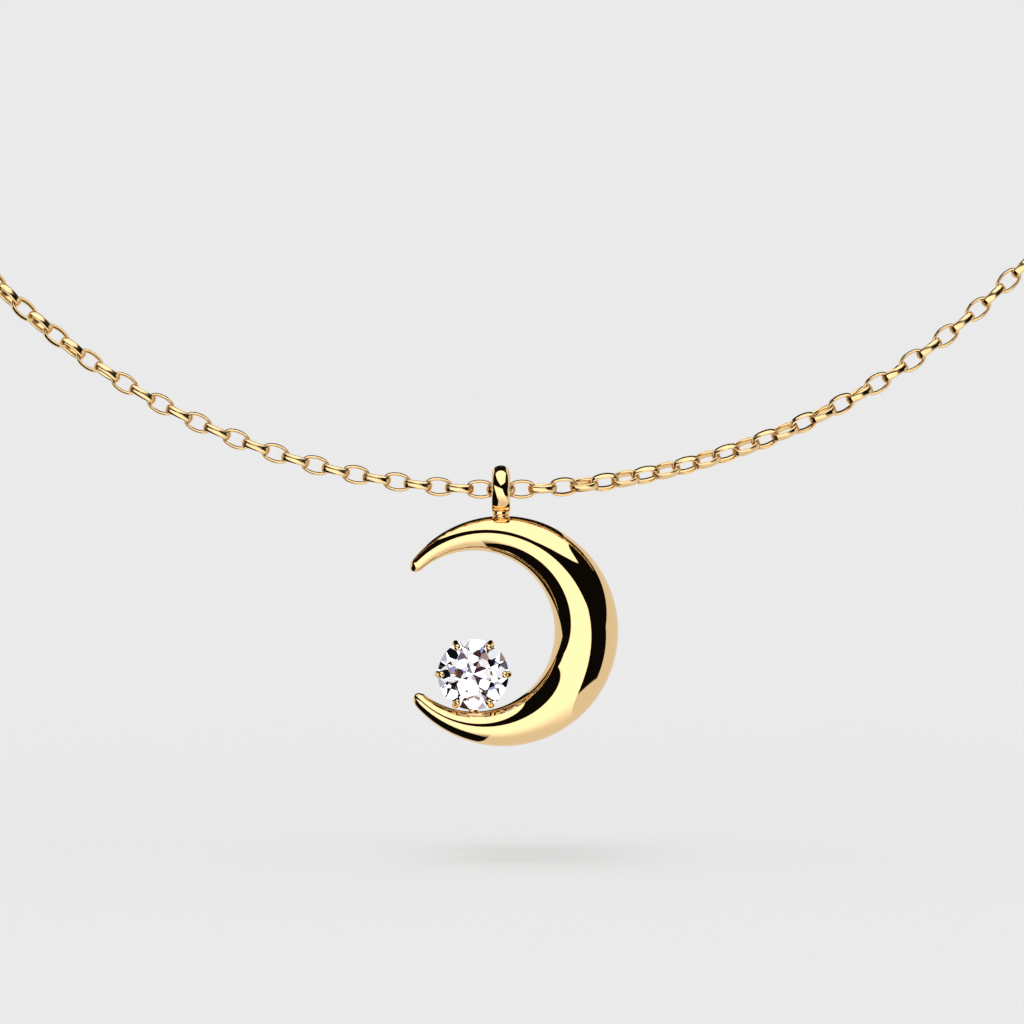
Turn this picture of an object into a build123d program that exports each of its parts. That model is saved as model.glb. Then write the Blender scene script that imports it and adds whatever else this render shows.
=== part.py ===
from build123d import *
from math import atan2, cos, degrees, pi, radians, sin, sqrt, tan
import os

# ---------------------------------------------------------------------------
# Pendant necklace, in millimetres.
# +Z is up, the wearer looks along -Y, +X is to the right seen from the front.
# The origin is the middle of the wearer's neck, inside the closed loop.
# ---------------------------------------------------------------------------

# the loop's course round the neck, right-hand half (the left half mirrors it)
FRONT_Y = -54.0            # plane of the front arc
LOW_Z = -52.0              # centreline of the chain at its lowest point
FRONT_RADIUS = 60.0        # the front of the chain hangs as an arc of a circle
FRONT_HALF_ANGLE = 48.0    # degrees of that arc on each side of the lowest point
SHOULDER_POINTS = [
    (57.5, -46.5, -20.5), (64.5, -29.5, -9.0), (66.0, 0.0, 7.5), (55.0, 29.0, 23.5), (33.0, 46.0, 33.5),
]
NAPE_Y = 51.0
NAPE_Z = 38.0
NAPE_HALF_STRAIGHT = 14.0  # the stretch with the clasp lies straight along X

# chain link, a four-arc oval bent from flattened wire
LINK_THICK = 0.30          # the wire's thickness, in the link's own plane
LINK_BAND = 0.66           # the wire's width, square to that plane
LINK_HALF_LENGTH = 1.09    # centre of the link to the band's centreline at its end
LINK_HALF_WIDTH = 0.66     # centre of the link to the band's centreline at its side
LINK_END_R = 0.56          # centreline radius of the round ends
NOMINAL_PITCH = 1.738      # spacing of the links, a hair short of taut
END_STRETCH = 6.0          # length at each end of the chain whose links already lie as the end rings need

# how the links group: (body, last link from the middle, links to a node)
CHAIN_RUNS = [("low", 6, 2), ("mid", 18, 4), ("high", 30, 4), ("back", None, 9)]

# slow twists of the chain about its own line: (start, full, easing, end) along it from the middle, then degrees
RIGHT_TWIST = (1.0, 11.0, 18.0, 38.0, 40.0)
LEFT_TWIST = (28.0, 42.0, 50.0, 75.0, 28.0)

# bail: a thick ring seen edge-on from the front, its hole off-centre so the top is the heavy side
BAIL_HOLE_R = 1.08
BAIL_HOLE_DROP = 0.47      # the hole's centre below the chain's centreline, where the ring hangs on the link
BAIL_OUTER_R = 2.0
BAIL_OUTER_RISE = 0.51     # the outer circle's centre above the hole's centre
BAIL_HALF_WIDTH = 0.78
COLLAR_R = 0.74            # the little spool that joins the bail to the crescent
COLLAR_WAIST_R = 0.62
COLLAR_GROOVE_R = 0.22     # section radius of the groove round its waist
COLLAR_TOP = 1.2           # its top, waist and foot below the chain's centreline, before it is cut to meet
COLLAR_WAIST = 2.22        # the bail above and the crescent below
COLLAR_FOOT = 3.2

# crescent: the space between an outer circle and an inner one set to the left
CRESCENT_DROP = 11.80      # centre of the outer circle below the chain's centreline
CRESCENT_SHIFT = 0.17      # and to its right
OUTER_R = 9.62
INNER_R = 6.71
INNER_SHIFT = 2.42         # inner circle's centre to the left of the outer one's
UPPER_TIP = 130.0          # degrees about the inner circle's centre, anticlockwise from +X
LOWER_TIP = -127.0
TIP_CAP = 6.0              # degrees of rounding past each tip
FLATTENING = 0.20          # how much shallower than round the section is where it is widest

# stone: a round brilliant with its table to the front
STONE_R = 2.95
STONE_X = -2.48            # from the centre of the crescent's outer circle
STONE_Z = -3.58
GIRDLE_Y = -0.75           # plane of the girdle
GIRDLE_HALF = 0.045
TABLE_SHARE = 0.57         # table radius at its corners as a share of the stone's
CROWN_ANGLE = 34.5
STAR_ANGLE = 21.5
UPPER_GIRDLE_ANGLE = 40.0
PAVILION_ANGLE = 40.75
LOWER_GIRDLE_ANGLE = 42.2

# prong setting
PRONGS = 6
PRONG_R = 0.30
PRONG_PATH = [(1.35, 1.75), (3.02, -0.45), (2.62, -1.02)]  # (distance from the stone's axis, Y)
PRONG_KNEE_R = 0.34
GALLERY_R = 0.20           # wire radius of both gallery rings
UPPER_GALLERY = (2.15, 0.32)   # (ring radius, Y)
LOWER_GALLERY = (1.40, 1.30)
PEG_R = 0.45
PEG_Y = 0.52
PEG_SINK = 0.6             # how far the peg reaches past the crescent's inner edge before it is cut to it

# rings and clasp at the nape
RING_WIRE_R = 0.30
JUMP_RING_R = 1.25         # centreline radius
END_RING_R = 1.35
PLAY = 0.02                # clearance left between pieces that hook into each other
CLASP_THICK = 1.5
CLASP_BODY_R = 2.1         # half-height of the clasp
CLASP_HOLE_R = 1.35        # half-height of the space the ring sits in
CLASP_BACK_U = -2.2        # centres of the round ends of the clasp body, along its length
CLASP_NOSE_U = 1.9
CLASP_HOLE_BACK_U = -0.6
CLASP_HOLE_NOSE_U = 1.55
TAIL_U = -3.7              # the eye the jump ring goes through
TAIL_OUTER_R = 1.25
TAIL_HOLE_R = 0.65
PIVOT_U = -1.5             # lever pin
PIVOT_V = -1.72
PIN_R = 0.28
PIN_PLAY = 0.03
LEVER_TIP_U = 1.75
LEVER_THICK = 0.50
LEVER_SLOT = 0.80
LEVER_PLAY = 0.02          # between the closed lever and the ring's space
TIP_PLAY = 0.07            # between the lever's tip and the nose it closes on
HEEL_R = 0.50
KNOB_R = 0.42
KNOB_AHEAD = 1.0           # from the pin towards the lever's tip
GATE_AHEAD = 0.55          # from the pin to where the body's lower side is open
POCKET_HALF_LENGTH = 0.85  # pocket in the body round the lever's heel
POCKET_HALF_HEIGHT = 0.57
SPRING_R = 0.39            # the lever's spring, one turn of wire round the pin beside the lever
SPRING_WIRE_R = 0.05


# ---- the chain's course ---------------------------------------------------

LOW = Vector(0, FRONT_Y, LOW_Z)
ARC_CENTRE = LOW + Vector(0, 0, FRONT_RADIUS)


def on_front_arc(angle):
    """The point of the front arc at this angle from its lowest point, in degrees, right-hand side positive."""
    a = radians(angle)
    return ARC_CENTRE + Vector(sin(a), 0, -cos(a)) * FRONT_RADIUS


def half_course():
    """The course from the lowest point round the right-hand side to the middle of the nape."""
    front_end = on_front_arc(FRONT_HALF_ANGLE)
    front = ThreePointArc(LOW, on_front_arc(FRONT_HALF_ANGLE / 2), front_end)
    nape_start = Vector(NAPE_HALF_STRAIGHT, NAPE_Y, NAPE_Z)
    leaving = Vector(cos(radians(FRONT_HALF_ANGLE)), 0, sin(radians(FRONT_HALF_ANGLE)))
    side = Spline(
        front_end, *SHOULDER_POINTS, nape_start,
        tangents=(leaving, Vector(-1, 0, 0)), tangent_scalars=(1, 1),
    )
    nape = Line(nape_start, (0, NAPE_Y, NAPE_Z))
    return Wire([front.edge(), side.edge(), nape.edge()])


def ramp(x, start, end):
    """0 before start, 1 after end, and a smooth step between."""
    t = min(max((x - start) / (end - start), 0.0), 1.0)
    return t * t * (3 - 2 * t)


def twist_at(side, distance):
    """Extra roll of a link about the chain's line, in degrees."""
    start, full, easing, end, most = RIGHT_TWIST if side > 0 else LEFT_TWIST
    return most * (ramp(distance, start, full) - ramp(distance, easing, end))


def mirrored(v, side):
    return Vector(v.X * side, v.Y, v.Z)


# ---- chain links ----------------------------------------------------------

def oval_link():
    """One link, flat in the XY plane with its length along X."""
    end_centre = LINK_HALF_LENGTH - LINK_END_R
    side_r = (end_centre**2 + LINK_HALF_WIDTH**2 - LINK_END_R**2) / (2 * (LINK_HALF_WIDTH - LINK_END_R))
    lean = atan2(side_r - LINK_HALF_WIDTH, end_centre)
    corner = Vector(end_centre + LINK_END_R * cos(lean), LINK_END_R * sin(lean))
    flips = [(1, 1), (-1, 1), (-1, -1), (1, -1)]
    corners = [Vector(corner.X * fx, corner.Y * fy) for fx, fy in flips]
    middles = [
        Vector(0, LINK_HALF_WIDTH), Vector(-LINK_HALF_LENGTH, 0),
        Vector(0, -LINK_HALF_WIDTH), Vector(LINK_HALF_LENGTH, 0),
    ]
    arcs = [
        ThreePointArc(corners[i], middles[i], corners[(i + 1) % 4]).edge()
        for i in range(4)
    ]
    path = Wire(arcs)
    section = Plane(origin=path @ 0, x_dir=(0, 0, 1), z_dir=path % 0) * Ellipse(LINK_BAND / 2, LINK_THICK / 2)
    return sweep(section, path=path).solid()


def link_places(course, count, pitch, side):
    """Where each link on one side goes: locations with X along the chain and Z through the link's opening."""
    normal = Vector(0, 1, 0)
    stations = []
    for i in range(1, count + 1):
        u = i * pitch / course.length
        half_step = 0.25 * pitch / course.length
        tangent = ((course @ (u + half_step)) - (course @ (u - half_step))).normalized()
        normal = (normal - tangent * normal.dot(tangent)).normalized()
        stations.append((course @ u, tangent, normal))
    # the carried normal arrives at the nape at some angle to the one the end rings need; the back of the
    # chain takes it up
    across = tangent.cross(normal)
    wanted = Vector(0, 1, 0)
    error = degrees(atan2(wanted.dot(across), wanted.dot(normal)))
    if count % 2 == 0:
        error += 90
    error = (error + 90) % 180 - 90
    arc_end = radians(FRONT_HALF_ANGLE) * FRONT_RADIUS
    places = []
    for i, (point, tangent, normal) in enumerate(stations, start=1):
        distance = i * pitch
        roll = twist_at(side, distance)
        roll += error * side * ramp(distance, arc_end, count * pitch - END_STRETCH)
        if i % 2 == 0:
            roll += 90
        place = Plane(
            origin=mirrored(point, side),
            x_dir=mirrored(tangent, side),
            z_dir=mirrored(normal, side),
        )
        places.append(place.location * Rot(roll, 0, 0))
    return places


def chain_nodes(link, course, count, pitch):
    """Every chain node: the middle link, then runs of separate links on each side."""
    middle = Plane(origin=LOW, x_dir=(1, 0, 0), z_dir=(0, 0, 1))
    nodes = {"chain_middle_link": [middle.location * link]}
    for side, word in ((-1, "left"), (1, "right")):
        places = link_places(course, count, pitch, side)
        first = 0
        for body, last, per_node in CHAIN_RUNS:
            run = places[first : last or count]
            groups = [run[i : i + per_node] for i in range(0, len(run), per_node)]
            if len(groups) > 1 and len(groups[-1]) < per_node / 2:
                groups[-2:] = [groups[-2] + groups[-1]]
            for n, group in enumerate(groups, start=1):
                nodes[f"chain_{word}_{body}_{n}"] = [place * link for place in group]
            first = last
    return nodes


# ---- rings with an off-centre hole, and the crescent ------------------------

def outer_reach(outer_r, shift, angle):
    """Distance from the inner circle's centre to the outer circle, whose centre is shifted along angle 0."""
    return shift * cos(angle) + sqrt(outer_r**2 - (shift * sin(angle)) ** 2)


def oval_section(centre, radial, along, inner, outer, half_depth):
    """An upright oval between two distances from a centre, square to the ring's line."""
    place = Plane(origin=centre + radial * ((inner + outer) / 2), x_dir=radial, z_dir=along)
    return place * Ellipse((outer - inner) / 2, half_depth)


def bail():
    centre = LOW + Vector(0, 0, -BAIL_HOLE_DROP)
    steps = 8
    sections = []
    for i in range(steps + 1):
        a = pi * i / steps  # from the top round the back to the bottom
        radial = Vector(0, sin(a), cos(a))
        along = Vector(0, cos(a), -sin(a))
        outer = outer_reach(BAIL_OUTER_R, BAIL_OUTER_RISE, a)
        sections.append(oval_section(centre, radial, along, BAIL_HOLE_R, outer, BAIL_HALF_WIDTH))
    half = loft(sections)
    other = half.mirror(Plane.XZ.offset(-FRONT_Y))
    return (half + other).solid()


OUTER_CENTRE = LOW + Vector(CRESCENT_SHIFT, 0, -CRESCENT_DROP)
INNER_CENTRE = OUTER_CENTRE + Vector(-INNER_SHIFT, 0, 0)


def crescent_section(angle, shrink=1.0):
    a = radians(angle)
    radial = Vector(cos(a), 0, sin(a))
    along = Vector(-sin(a), 0, cos(a))
    outer = outer_reach(OUTER_R, INNER_SHIFT, a)
    width = outer - INNER_R
    widest = OUTER_R + INNER_SHIFT - INNER_R
    depth = width * (1 - FLATTENING * (width / widest) ** 2)
    middle = (INNER_R + outer) / 2
    half = shrink * width / 2
    return oval_section(INNER_CENTRE, radial, along, middle - half, middle + half, shrink * depth / 2)


def crescent():
    spans = 12
    step = (UPPER_TIP - LOWER_TIP) / spans
    body = [(LOWER_TIP + step * i, 1.0) for i in range(spans + 1)]
    caps = [(t * TIP_CAP, sqrt(1 - t * t)) for t in (0.5, 0.8, 0.95)]
    lower = [(LOWER_TIP - past, shrink) for past, shrink in reversed(caps)]
    upper = [(UPPER_TIP + past, shrink) for past, shrink in caps]
    sections = [crescent_section(a, shrink) for a, shrink in lower + body + upper]
    return loft(sections).solid()


def collar(ring, moon):
    """The spool between the bail and the crescent, shaped to meet both."""
    middle = Pos(0, FRONT_Y, LOW.Z - (COLLAR_TOP + COLLAR_FOOT) / 2)
    post = middle * Cylinder(COLLAR_R, COLLAR_FOOT - COLLAR_TOP)
    waist = Pos(0, FRONT_Y, LOW.Z - COLLAR_WAIST)
    groove = waist * Torus(COLLAR_WAIST_R + COLLAR_GROOVE_R, COLLAR_GROOVE_R)
    hole = Pos(0, FRONT_Y, LOW.Z - BAIL_HOLE_DROP) * Rot(0, 90, 0) * Cylinder(BAIL_HOLE_R, 4 * COLLAR_R)
    spool = post - groove - ring - moon - hole
    return sorted(spool.solids(), key=lambda s: -s.volume)[0]


# ---- stone and its setting --------------------------------------------------

STONE_CENTRE = OUTER_CENTRE + Vector(STONE_X, 0, STONE_Z)


def facet_planes():
    """(tilt, azimuth, radius, height) of each facet: a plane square to the tilt, through that radius and height."""
    table_r = STONE_R * TABLE_SHARE
    crown = GIRDLE_HALF + (STONE_R - table_r) * tan(radians(CROWN_ANGLE))
    facets = [(0, 0, 0, crown)]
    for k in range(8):
        facets.append((CROWN_ANGLE, 45 * k, STONE_R, GIRDLE_HALF))
        facets.append((STAR_ANGLE, 45 * k + 22.5, table_r * cos(pi / 8), crown))
        facets.append((180 - PAVILION_ANGLE, 45 * k, STONE_R, -GIRDLE_HALF))
    for k in range(16):
        azimuth = 22.5 * k + 11.25
        facets.append((UPPER_GIRDLE_ANGLE, azimuth, STONE_R, GIRDLE_HALF))
        facets.append((180 - LOWER_GIRDLE_ANGLE, azimuth, STONE_R, -GIRDLE_HALF))
    return facets


def brilliant():
    """The stone about the origin with its table to +Z, cut facet by facet from a rough cylinder."""
    stone = Cylinder(STONE_R, 3 * STONE_R)
    for tilt, azimuth, radius, height in facet_planes():
        t, a = radians(tilt), radians(azimuth)
        normal = Vector(sin(t) * cos(a), sin(t) * sin(a), cos(t))
        point = Vector(radius * cos(a), radius * sin(a), height)
        stone = split(stone, bisect_by=Plane(origin=point, z_dir=normal), keep=Keep.BOTTOM)
    return stone.solid()


def stone():
    facing = Plane(
        origin=STONE_CENTRE + Vector(0, GIRDLE_Y, 0), x_dir=(1, 0, 0), z_dir=(0, -1, 0)
    )
    return facing.location * brilliant()


def prong(number):
    angle = 2 * pi * number / PRONGS
    out = Vector(cos(angle), 0, sin(angle))
    points = [STONE_CENTRE + out * r + Vector(0, y, 0) for r, y in PRONG_PATH]
    path = FilletPolyline(*points, radius=PRONG_KNEE_R).wire()
    start = Plane(origin=path @ 0, z_dir=path % 0)
    wire = sweep(start * Circle(PRONG_R), path=path)
    return wire + Pos(*(path @ 1)) * Sphere(PRONG_R * 0.999)


def gallery_ring(ring_r, y):
    return Pos(*(STONE_CENTRE + Vector(0, y, 0))) * Rot(90, 0, 0) * Torus(ring_r, GALLERY_R)


def seat_peg(moon, rail):
    """The peg that the basket is soldered to the crescent with, below the stone."""
    near = UPPER_GALLERY[0] + GALLERY_R / 2
    far = INNER_R + STONE_Z + PEG_SINK
    middle = STONE_CENTRE + Vector(0, PEG_Y, -(near + far) / 2)
    peg = Pos(*middle) * Cylinder(PEG_R, far - near)
    return sorted((peg - moon - rail).solids(), key=lambda s: -s.volume)[0]


# ---- rings and clasp at the nape --------------------------------------------

def flat_ring(centre_x, ring_r):
    return Pos(centre_x, NAPE_Y, NAPE_Z) * Torus(ring_r, RING_WIRE_R)


def nape_layout():
    """Where the pieces at the nape sit along X when each hooks into the next, with the clasp's own middle at 0."""
    half = CLASP_THICK / 2  # each ring curves, so it bears on the edges of the clasp's faces
    jump_seat = sqrt((JUMP_RING_R - RING_WIRE_R) ** 2 - half**2)
    jump_centre = TAIL_U - TAIL_HOLE_R + PLAY - jump_seat
    hook = RING_WIRE_R + LINK_THICK / 2 + PLAY
    left_link = jump_centre - JUMP_RING_R + hook - LINK_HALF_LENGTH
    end_seat = sqrt((END_RING_R - RING_WIRE_R) ** 2 - half**2)
    end_centre = CLASP_HOLE_NOSE_U + CLASP_HOLE_R - PLAY + end_seat
    right_link = end_centre + END_RING_R - hook + LINK_HALF_LENGTH
    shift = -(left_link + right_link) / 2
    return {
        "clasp": shift,
        "jump_ring": jump_centre + shift,
        "end_ring": end_centre + shift,
        "last_link": right_link + shift,
    }


def clasp_pieces(x):
    """Body, lever, pin and spring of the clasp, in its own plane facing the back."""
    face = Plane(origin=(x, NAPE_Y, NAPE_Z), x_dir=(1, 0, 0), z_dir=(0, -1, 0))

    def slab(sketch, thick):
        return extrude(face * sketch, amount=thick / 2, both=True)

    def oblong(back, nose, r):
        return Pos((back + nose) / 2, 0) * SlotCenterToCenter(nose - back, 2 * r)

    outline = oblong(CLASP_BACK_U, CLASP_NOSE_U, CLASP_BODY_R) + Pos(TAIL_U, 0) * Circle(TAIL_OUTER_R)
    space = oblong(CLASP_HOLE_BACK_U, CLASP_HOLE_NOSE_U, CLASP_HOLE_R)
    gate_from, gate_to = PIVOT_U + GATE_AHEAD, LEVER_TIP_U + TIP_PLAY
    gate = Pos((gate_from + gate_to) / 2, -CLASP_BODY_R) * Rectangle(gate_to - gate_from, 2 * CLASP_BODY_R)
    eye = Pos(TAIL_U, 0) * Circle(TAIL_HOLE_R)
    body = slab(outline - space - gate - eye, CLASP_THICK)
    at_pin = Pos(PIVOT_U, PIVOT_V)
    body -= slab(at_pin * Rectangle(2 * POCKET_HALF_LENGTH, 2 * POCKET_HALF_HEIGHT), LEVER_SLOT)
    body -= slab(at_pin * Circle(PIN_R), 2 * CLASP_THICK)

    inner_v = -CLASP_HOLE_R - LEVER_PLAY
    outer_v = -CLASP_BODY_R
    bar = Pos((PIVOT_U + LEVER_TIP_U) / 2, (inner_v + outer_v) / 2) * Rectangle(
        LEVER_TIP_U - PIVOT_U, inner_v - outer_v
    )
    knob = Pos(PIVOT_U + KNOB_AHEAD, outer_v) * Circle(KNOB_R)
    lever = slab(bar + at_pin * Circle(HEEL_R) + knob, LEVER_THICK)
    lever -= slab(at_pin * Circle(PIN_R + PIN_PLAY), 2 * CLASP_THICK)

    pin = slab(at_pin * Circle(PIN_R), CLASP_THICK)
    beside_lever = (LEVER_THICK + LEVER_SLOT) / 4
    spring = Pos(0, beside_lever, 0) * (face * at_pin * Torus(SPRING_R, SPRING_WIRE_R))
    return {
        "clasp_body": body.solid(),
        "clasp_lever": lever.solid(),
        "clasp_pin": pin.solid(),
        "clasp_spring": spring.solid(),
    }


# ---- the whole necklace -------------------------------------------------------

def build():
    course = half_course()
    nape = nape_layout()
    hanging = course.length - nape["last_link"]
    count = round(hanging / NOMINAL_PITCH)
    pitch = hanging / count
    link = oval_link()
    nodes = chain_nodes(link, course, count, pitch)

    ring, moon, gem = bail(), crescent(), stone()
    upper = gallery_ring(*UPPER_GALLERY)
    lower = gallery_ring(*LOWER_GALLERY)
    nodes["bail"] = [ring]
    nodes["crescent"] = [moon]
    nodes["bail_collar"] = [collar(ring, moon)]
    nodes["stone"] = [gem]
    nodes["upper_gallery"] = [upper]
    nodes["lower_gallery"] = [lower]
    for n in range(PRONGS):
        cut = prong(n) - gem - upper - lower - moon
        nodes[f"prong_{n + 1}"] = [sorted(cut.solids(), key=lambda s: -s.volume)[0]]
    nodes["seat_peg"] = [seat_peg(moon, upper)]

    nodes["jump_ring"] = [flat_ring(nape["jump_ring"], JUMP_RING_R)]
    nodes["end_ring"] = [flat_ring(nape["end_ring"], END_RING_R)]
    for name, piece in clasp_pieces(nape["clasp"]).items():
        nodes[name] = [piece]

    for body, last, _ in CHAIN_RUNS[:-1]:
        print(f"{body} run ends at {course @ ((last + 0.5) * pitch / course.length)}")
    links = 2 * count + 1
    print(f"course {2 * course.length:.2f} mm, {links} links, pitch {pitch:.4f}, nape {nape}")
    return nodes


os.makedirs("parts", exist_ok=True)
for name, solids in build().items():
    export_step(Compound(children=list(solids)), f"parts/{name}.step")
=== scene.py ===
from math import cos, pi, radians, sin, tan

import bmesh
import bpy
import numpy as np
from mathutils import Matrix, Vector


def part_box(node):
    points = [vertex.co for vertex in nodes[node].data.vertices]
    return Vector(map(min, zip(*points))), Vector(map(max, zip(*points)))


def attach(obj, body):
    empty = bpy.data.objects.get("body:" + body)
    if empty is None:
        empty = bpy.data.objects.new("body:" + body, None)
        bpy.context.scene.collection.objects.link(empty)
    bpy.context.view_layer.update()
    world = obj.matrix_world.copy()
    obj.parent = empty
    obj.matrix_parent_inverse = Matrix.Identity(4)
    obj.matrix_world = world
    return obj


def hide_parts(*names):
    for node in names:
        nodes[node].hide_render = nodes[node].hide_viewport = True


MM = 0.001
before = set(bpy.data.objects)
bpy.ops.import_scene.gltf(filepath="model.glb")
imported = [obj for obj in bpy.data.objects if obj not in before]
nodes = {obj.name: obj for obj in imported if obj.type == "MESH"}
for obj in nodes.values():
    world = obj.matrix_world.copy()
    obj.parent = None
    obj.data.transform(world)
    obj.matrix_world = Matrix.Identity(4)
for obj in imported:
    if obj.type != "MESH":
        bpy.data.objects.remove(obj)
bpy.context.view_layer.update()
scene = bpy.context.scene


# ---- node helpers -----------------------------------------------------------------

def grey(value):
    return (value, value, value, 1)


class Tree:
    """Builds shader maths: every value is a socket or a plain number."""

    def __init__(self, owner):
        owner.use_nodes = True
        self.t = owner.node_tree
        self.t.nodes.clear()

    def add(self, kind, **settings):
        n = self.t.nodes.new(kind)
        for key, value in settings.items():
            setattr(n, key, value)
        return n

    def wire(self, value, socket):
        if isinstance(value, bpy.types.NodeSocket):
            self.t.links.new(value, socket)
        else:
            socket.default_value = value

    def put(self, node, values):
        """Wires or sets a node's inputs by name or number."""
        for key, value in values.items():
            self.wire(value, node.inputs[key])
        return node

    def multiply(self, a, b):
        n = self.put(self.add("ShaderNodeMath", operation="MULTIPLY"), {0: a, 1: b})
        return n.outputs[0]

    def most(self, a, b):
        n = self.put(self.add("ShaderNodeMath", operation="MAXIMUM"), {0: a, 1: b})
        return n.outputs[0]

    def step(self, value, low, high):
        """0 below low, 1 above high, smooth between."""
        n = self.add("ShaderNodeMapRange", interpolation_type="SMOOTHSTEP")
        return self.put(n, {0: value, 1: low, 2: high}).outputs[0]

    def span(self, value, low, high, to_low, to_high):
        """Maps low to high onto to_low to to_high."""
        n = self.add("ShaderNodeMapRange")
        return self.put(n, {0: value, 1: low, 2: high, 3: to_low, 4: to_high}).outputs[0]

    def noise(self, scale, detail, **where):
        n = self.add("ShaderNodeTexNoise")
        return self.put(n, {"Scale": scale, "Detail": detail, **where}).outputs[0]

    def mix(self, share, a, b):
        n = self.add("ShaderNodeMix", data_type="RGBA")
        return self.put(n, {0: share, 6: a, 7: b}).outputs[2]


# ---- metals and stone ---------------------------------------------------------------

GOLD = (0.93, 0.66, 0.335, 1)
STEEL = (0.6, 0.6, 0.62, 1)
HAZE_FROM, HAZE_TO = 0.35, 0.75        # the noise values that the smoothest and the dullest gold lie at
SMOOTHEST, DULLEST = 0.6, 1.6          # shares of a gold's roughness there
MARK_DEPTH = 0.02 * MM                 # depth of the polishing marks


def principled(name):
    """A material of one Principled shader, with its tree and that shader."""
    m = bpy.data.materials.new(name)
    t = Tree(m)
    p = t.add("ShaderNodeBsdfPrincipled")
    t.put(t.add("ShaderNodeOutputMaterial"), {0: p.outputs[0]})
    return m, t, p


def gold(name, roughness, wear, scale):
    """Polished gold: slight haze and tiny polishing marks that catch the light."""
    m, t, p = principled(name)
    place = t.add("ShaderNodeTexCoord").outputs["Object"]
    haze = t.noise(scale, 4, Vector=place)
    marks = t.noise(scale * 0.8, 2, Vector=place)
    bump = t.add("ShaderNodeBump")
    t.put(bump, {"Strength": wear, "Distance": MARK_DEPTH, "Height": marks})
    rough = t.span(haze, HAZE_FROM, HAZE_TO, roughness * SMOOTHEST, roughness * DULLEST)
    t.put(p, {"Base Color": GOLD, "Metallic": 1, "Roughness": rough, "Normal": bump.outputs[0]})
    return m


def cut_stone():
    """Clear stone under a coating far thinner than a hair, which gives some facets a warm or violet cast."""
    m, t, p = principled("cut_stone")
    t.put(p, {"Base Color": grey(1), "Roughness": 0, "IOR": 2.4, "Transmission Weight": 1})
    t.put(p, {"Thin Film Thickness": 90, "Thin Film IOR": 1.4})
    return m


def steel():
    m, t, p = principled("spring_steel_wire")
    rough = t.span(t.noise(9000, 2), 0, 1, 0.15, 0.35)
    t.put(p, {"Base Color": STEEL, "Metallic": 1, "Roughness": rough})
    return m


pendant_gold = gold("pendant_gold", 0.020, 0.10, 700)
chain_gold = gold("chain_gold", 0.200, 0.30, 1500)
setting_gold = gold("setting_gold", 0.050, 0.15, 1500)
findings_gold = gold("findings_gold", 0.100, 0.06, 900)
stone_clear = cut_stone()
spring_steel = steel()

SETTING = ("upper_gallery", "lower_gallery", "seat_peg", "prong_")
FINDINGS = ("clasp_", "jump_ring", "end_ring")


def material_of(name):
    if name == "stone":
        return stone_clear
    if name == "clasp_spring":
        return spring_steel
    if name.startswith("chain_"):
        return chain_gold
    if name.startswith(SETTING):
        return setting_gold
    if name.startswith(FINDINGS):
        return findings_gold
    return pendant_gold


for name, o in nodes.items():
    o.data.materials.clear()
    o.data.materials.append(material_of(name))


# ---- crescent and bail, as smooth meshes --------------------------------------------

def skin(name, rings, closed, material):
    """A mesh over rows of points, each row a closed ring; closed joins the last row to the first."""
    rows, around = rings.shape[:2]
    verts = [tuple(p) for p in rings.reshape(-1, 3)]
    faces = []
    for i in range(rows if closed else rows - 1):
        for j in range(around):
            a, b = i * around + j, i * around + (j + 1) % around
            k = (i + 1) % rows * around
            faces.append((a, b, k + (j + 1) % around, k + j))
    if not closed:
        for row, order in ((0, -1), (rows - 1, 1)):
            verts.append(tuple(rings[row].mean(axis=0)))
            tip = len(verts) - 1
            for j in range(around):
                a, b = row * around + j, row * around + (j + 1) % around
                faces.append((a, b, tip)[::order])
    mesh = bpy.data.meshes.new(name)
    mesh.from_pydata(verts, [], faces)
    mesh.update()
    mesh.shade_smooth()
    mesh.materials.append(material)
    o = bpy.data.objects.new(name, mesh)
    scene.collection.objects.link(o)
    return o


def hand_over(o, node):
    """The object takes the place of a CAD node of the pendant."""
    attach(o, "pendant")
    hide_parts(node)


def box_middle(node):
    lo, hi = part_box(node)
    return (lo + hi) / 2


def outer_reach(outer_r, shift, angle):
    """Distance from the inner circle's centre to the outer circle, whose centre is shifted along angle 0."""
    return shift * np.cos(angle) + np.sqrt(outer_r**2 - (shift * np.sin(angle)) ** 2)


OUTER_R, INNER_R, INNER_SHIFT = 9.62 * MM, 6.71 * MM, 2.42 * MM
UPPER_TIP, LOWER_TIP, TIP_CAP = 130.0, -127.0, 6.0   # degrees
FLATTENING = 0.20
CRESCENT_ROWS, CAP_ROWS, CRESCENT_AROUND = 500, 28, 144
TIP_LIMIT = 0.9995         # how far up its rounding each tip is drawn before a fan of triangles closes it


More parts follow.
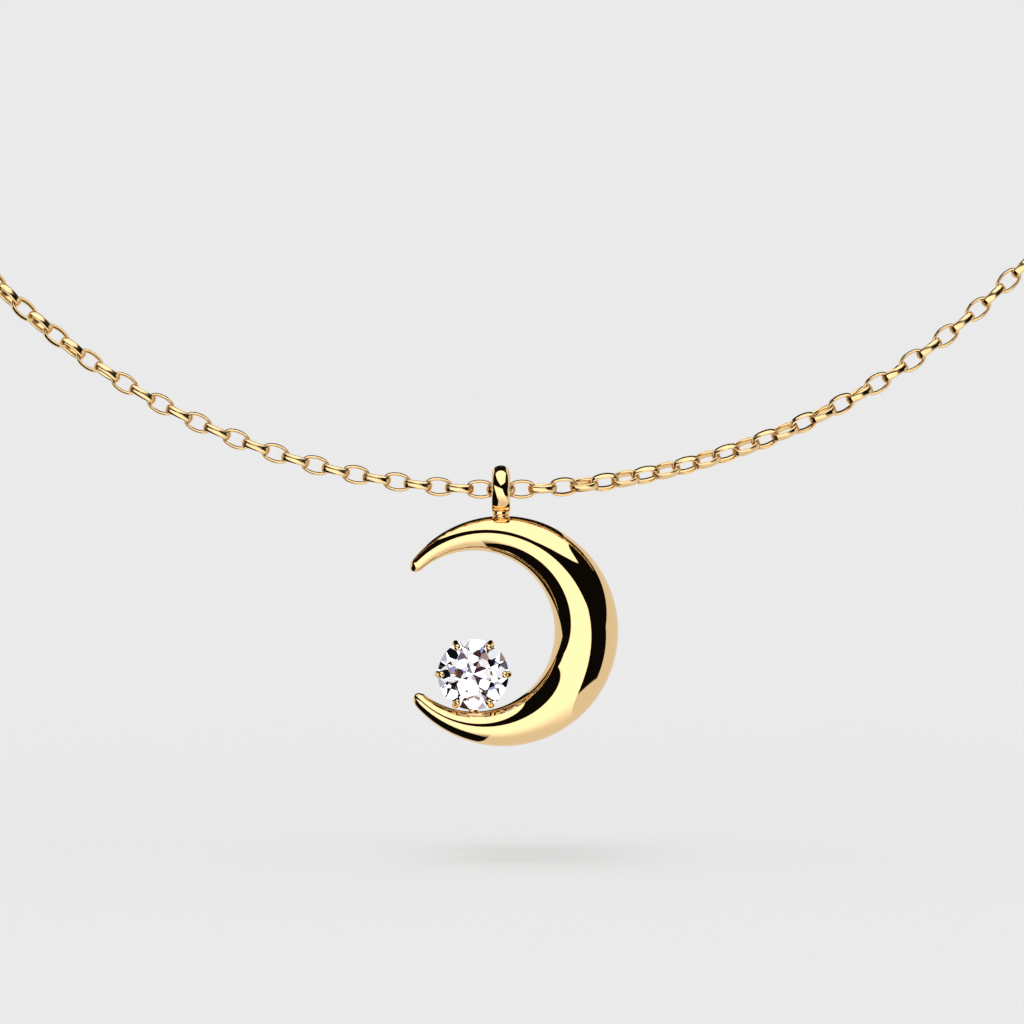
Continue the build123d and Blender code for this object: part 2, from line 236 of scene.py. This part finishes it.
def crescent():
    middle = box_middle("crescent")
    centre_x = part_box("crescent")[1].x - OUTER_R - INNER_SHIFT
    past = np.sin(np.linspace(0, pi / 2, CAP_ROWS))[1:] * TIP_LIMIT
    cap_shrink = np.sqrt(1 - past**2)
    body = np.linspace(LOWER_TIP, UPPER_TIP, CRESCENT_ROWS)
    angles = np.concatenate([(LOWER_TIP - past * TIP_CAP)[::-1], body, UPPER_TIP + past * TIP_CAP])
    shrink = np.concatenate([cap_shrink[::-1], np.ones(len(body)), cap_shrink])
    a = np.radians(angles)
    outer = outer_reach(OUTER_R, INNER_SHIFT, a)
    width = outer - INNER_R
    widest = OUTER_R + INNER_SHIFT - INNER_R
    depth = width * (1 - FLATTENING * (width / widest) ** 2)
    t = np.linspace(0, 2 * pi, CRESCENT_AROUND, endpoint=False)
    reach = ((INNER_R + outer) / 2)[:, None] + (shrink * width / 2)[:, None] * np.cos(t)
    side = (shrink * depth / 2)[:, None] * np.sin(t)
    along_x, along_z = np.cos(a)[:, None], np.sin(a)[:, None]
    rings = np.stack([centre_x + reach * along_x, middle.y + side, middle.z + reach * along_z], axis=2)
    hand_over(skin("crescent_polished", rings, False, pendant_gold), "crescent")


BAIL_HOLE_R, BAIL_OUTER_R, BAIL_OUTER_RISE = 1.08 * MM, 2.0 * MM, 0.51 * MM
BAIL_ROWS, BAIL_AROUND = 192, 96


def bail():
    lo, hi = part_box("bail")
    middle = box_middle("bail")
    centre_z = hi.z - BAIL_OUTER_R - BAIL_OUTER_RISE
    a = np.linspace(0, 2 * pi, BAIL_ROWS, endpoint=False)
    outer = outer_reach(BAIL_OUTER_R, BAIL_OUTER_RISE, a)
    t = np.linspace(0, 2 * pi, BAIL_AROUND, endpoint=False)
    reach = ((outer + BAIL_HOLE_R) / 2)[:, None] + ((outer - BAIL_HOLE_R) / 2)[:, None] * np.cos(t)
    across = (hi.x - lo.x) / 2 * np.sin(t)[None, :] * np.ones_like(a)[:, None]
    along_y, along_z = np.sin(a)[:, None], np.cos(a)[:, None]
    rings = np.stack([middle.x + across, middle.y + reach * along_y, centre_z + reach * along_z], axis=2)
    hand_over(skin("bail_polished", rings, True, pendant_gold), "bail")


# ---- stone, cut facet by facet --------------------------------------------------------

STONE_R, GIRDLE_HALF, TABLE_SHARE = 2.95 * MM, 0.045 * MM, 0.57
CROWN_ANGLE, STAR_ANGLE, UPPER_GIRDLE_ANGLE = 34.5, 21.5, 40.0
PAVILION_ANGLE, LOWER_GIRDLE_ANGLE = 40.75, 42.2
ROUGH_SEGMENTS = 96        # of the cylinder that the stone is cut from
GIRDLE_BITE = 0.995        # how near the rim the girdle facets start, as a share of the stone's radius
SNAP = 1e-9                # points this near a cut count as on it, in metres


def cut(bm, point, outward):
    """Takes away everything beyond a plane, and closes the face that this leaves."""
    geom = bm.verts[:] + bm.edges[:] + bm.faces[:]
    done = bmesh.ops.bisect_plane(
        bm, geom=geom, dist=SNAP, plane_co=point, plane_no=outward, clear_outer=True
    )
    rim = [e for e in done["geom_cut"] if isinstance(e, bmesh.types.BMEdge)]
    bmesh.ops.holes_fill(bm, edges=rim)


def facet(bm, slope, azimuth, reach, height, front):
    """Cuts a facet through the point at distance reach from the axis and height from the girdle's middle."""
    lean, turn = radians(slope), radians(azimuth)
    out = sin(lean)
    outward = Vector((out * cos(turn), -cos(lean) * front, out * sin(turn)))
    cut(bm, Vector((reach * cos(turn), -height * front, reach * sin(turn))), outward)


def stone():
    table_reach = TABLE_SHARE * STONE_R * cos(pi / 8)
    table_height = (1 - TABLE_SHARE) * STONE_R * cos(pi / 8) * tan(radians(CROWN_ANGLE)) + GIRDLE_HALF
    middle = box_middle("stone")
    centre = Vector((middle.x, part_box("stone")[0].y + table_height, middle.z))
    bm = bmesh.new()
    bmesh.ops.create_cone(
        bm, cap_ends=True, segments=ROUGH_SEGMENTS, radius1=STONE_R, radius2=STONE_R, depth=4 * STONE_R,
        matrix=Matrix.Rotation(radians(90), 4, "X"),
    )
    cut(bm, (0, -table_height, 0), (0, -1, 0))
    for k in range(8):
        main, star = 45 * k, 45 * k + 22.5
        facet(bm, CROWN_ANGLE, main, STONE_R, GIRDLE_HALF, 1)
        facet(bm, STAR_ANGLE, star, table_reach, table_height, 1)
        facet(bm, PAVILION_ANGLE, main, STONE_R, GIRDLE_HALF, -1)
    for k in range(16):
        beside = 22.5 * k + 11.25
        facet(bm, UPPER_GIRDLE_ANGLE, beside, STONE_R * GIRDLE_BITE, GIRDLE_HALF, 1)
        facet(bm, LOWER_GIRDLE_ANGLE, beside, STONE_R * GIRDLE_BITE, GIRDLE_HALF, -1)
    bmesh.ops.translate(bm, verts=bm.verts, vec=centre)
    bmesh.ops.recalc_face_normals(bm, faces=bm.faces)
    mesh = bpy.data.meshes.new("brilliant")
    bm.to_mesh(mesh)
    bm.free()
    mesh.materials.append(stone_clear)
    o = bpy.data.objects.new("brilliant", mesh)
    scene.collection.objects.link(o)
    hand_over(o, "stone")


crescent()
bail()
stone()


# ---- camera ---------------------------------------------------------------------------

LENS, SENSOR = 200.0, 36.0
AIM_X, AIM_Z = 0.92 * MM, -53.87 * MM
VIEW_WIDTH = 85.33 * MM    # what the picture spans at the chain's plane
ELEVATION = radians(1.5)

cam_data = bpy.data.cameras.new("camera")
cam_data.lens, cam_data.sensor_width = LENS, SENSOR
cam_data.clip_start, cam_data.clip_end = 0.01, 20
camera = bpy.data.objects.new("camera", cam_data)
scene.collection.objects.link(camera)
aim = Vector((AIM_X, box_middle("chain_middle_link").y, AIM_Z))
back = Vector((0, -cos(ELEVATION), sin(ELEVATION)))
camera.location = aim + back * (VIEW_WIDTH * LENS / SENSOR)
camera.rotation_euler = (-back).to_track_quat("-Z", "Y").to_euler()
scene.camera = camera


# ---- floor and lamps --------------------------------------------------------------------

BACKDROP = grey(0.8235)    # what the camera sees behind everything
FLOOR = grey(0.764)        # set so that the lit floor matches the backdrop
FLOOR_Z, FLOOR_HALF = -82.5 * MM, 6.0
LAMPS = ((-20, 0.34), (0, 0.44), (20, 0.34))    # (tilt towards the back in degrees, strength)
LAMP_SWAY, LAMP_SPREAD = -5, 36                 # degrees

scene.view_settings.view_transform = "Standard"

corners = [(x * FLOOR_HALF, y * FLOOR_HALF, FLOOR_Z) for x, y in ((-1, -1), (1, -1), (1, 1), (-1, 1))]
mesh = bpy.data.meshes.new("floor")
mesh.from_pydata(corners, [], [(0, 1, 2, 3)])
floor = bpy.data.objects.new("floor", mesh)
scene.collection.objects.link(floor)
pale_floor = bpy.data.materials.new("pale_floor")
t = Tree(pale_floor)
matt = t.put(t.add("ShaderNodeBsdfDiffuse"), {"Color": FLOOR})
t.put(t.add("ShaderNodeOutputMaterial"), {0: matt.outputs[0]})
mesh.materials.append(pale_floor)
floor.visible_glossy = False
floor.visible_transmission = False

for tilt, strength in LAMPS:
    light = bpy.data.lights.new("overhead", "SUN")
    light.energy = strength
    light.angle = radians(LAMP_SPREAD)
    lamp = bpy.data.objects.new("overhead", light)
    lamp.rotation_euler = (radians(tilt), radians(LAMP_SWAY), 0)
    lamp.visible_glossy = False
    lamp.visible_transmission = False
    scene.collection.objects.link(lamp)


# ---- the studio that the metal reflects ---------------------------------------------------

SKY, BLACK, CARD = grey(0.80), grey(0.004), grey(1.5)
DOME = grey(0.703)         # the plain light that lands on the floor
EDGE = 0.012               # blur of an edge where a plane gives none

# Each shape is what lies beyond all of its planes: (x, y, z weights of a direction, limit, blur of the edge).
# -y is the camera's side. A direction is x, y and z of a unit vector, as seen from the pendant.
FLAGS = (
    # upper right
    ((1, 0, 0, -0.05), (0, 0, 1, -0.02), (0, -1, 1.36, 0.45)),
    # lower right
    ((1, 0, 0, -0.05), (0, 0, -1, -0.02), (0, 0, 1, -0.48, 0.03), (0, -1, -0.3, 0.45)),
    # upper left
    ((-1, 0, 0, -0.05), (0, 0, 1, -0.01), (0, -1, 1.3, 0.10), (0, -1, 0, -0.85)),
    # lower left
    ((-1, 0, 0, 0.20), (0, 0, -1, -0.01), (0, -1, -1.3, 0.10), (0, -1, 0, -0.50)),
    # overhead at the back
    ((-1.3, 0, 1, 0.08), (0.95, 0, 1, 0.02), (0, 1, 0, -0.02), (0, -1, 0, -0.97)),
)
SOFTBOX = ((-0.35, 0, 1, 0.32), (0.7, 0, 1, 0.32), (-1, 0, 0, -0.62), (0, -1, 0, -0.22))
# a big card round the camera, dimmer towards its foot
FRONT_CARD = (
    (0, -1, 0, 0.0, 0.02), (-1, 0, -0.5, -0.22), (-0.25, 0, -1, -0.09),
    (1, 0, 0.65, -0.79), (1, 0, 0, -0.89), (0, 0, 1, -0.95, 0.5),
)
# what the stone gathers: a room of small lights and dark gaps, some of them coloured
ROOM_SCALE = 8.0
ROOM = (
    (0.0, (0.006, 0.006, 0.008, 1)), (0.33, (0.10, 0.10, 0.16, 1)), (0.345, (0.30, 0.34, 0.66, 1)),
    (0.36, (0.44, 0.36, 0.62, 1)), (0.375, (0.40, 0.27, 0.22, 1)), (0.39, (0.55, 0.53, 0.60, 1)),
    (0.44, (1.0, 0.98, 1.0, 1)), (0.60, (2.2, 2.2, 2.2, 1)),
)

world = bpy.data.worlds.new("studio")
scene.world = world
w = Tree(world)
direction = w.add("ShaderNodeTexCoord").outputs["Generated"]


def beyond(weight_x, weight_y, weight_z, limit, blur=EDGE):
    dot = w.add("ShaderNodeVectorMath", operation="DOT_PRODUCT")
    w.put(dot, {0: direction, 1: (weight_x, weight_y, weight_z)})
    return w.step(dot.outputs["Value"], limit, limit + blur)


def shape(planes):
    mask = 1.0
    for plane in planes:
        mask = w.multiply(mask, beyond(*plane))
    return mask


def room():
    cells = w.put(w.add("ShaderNodeTexVoronoi"), {"Scale": ROOM_SCALE, "Vector": direction})
    pick = w.put(w.add("ShaderNodeSeparateColor"), {0: cells.outputs["Color"]})
    ramp = w.put(w.add("ShaderNodeValToRGB"), {0: pick.outputs[0]})
    ramp.color_ramp.interpolation = "CONSTANT"
    stops = ramp.color_ramp.elements
    stops.remove(stops[1])
    stops[0].color = ROOM[0][1]
    for position, shade in ROOM[1:]:
        stops.new(position).color = shade
    return ramp.outputs[0]


def background(shade):
    return w.put(w.add("ShaderNodeBackground"), {0: shade}).outputs[0]


dark = 0.0
for flag in FLAGS:
    dark = w.most(dark, shape(flag))
colour = w.mix(dark, SKY, BLACK)
colour = w.mix(shape(SOFTBOX), colour, CARD)
colour = w.mix(shape(FRONT_CARD), colour, CARD)
path = w.add("ShaderNodeLightPath")
shown = background(colour)
for ray, seen in (("Is Transmission Ray", room()), ("Is Diffuse Ray", DOME), ("Is Camera Ray", BACKDROP)):
    either = w.add("ShaderNodeMixShader")
    shown = w.put(either, {0: path.outputs[ray], 1: shown, 2: background(seen)}).outputs[0]
w.put(w.add("ShaderNodeOutputWorld"), {0: shown})
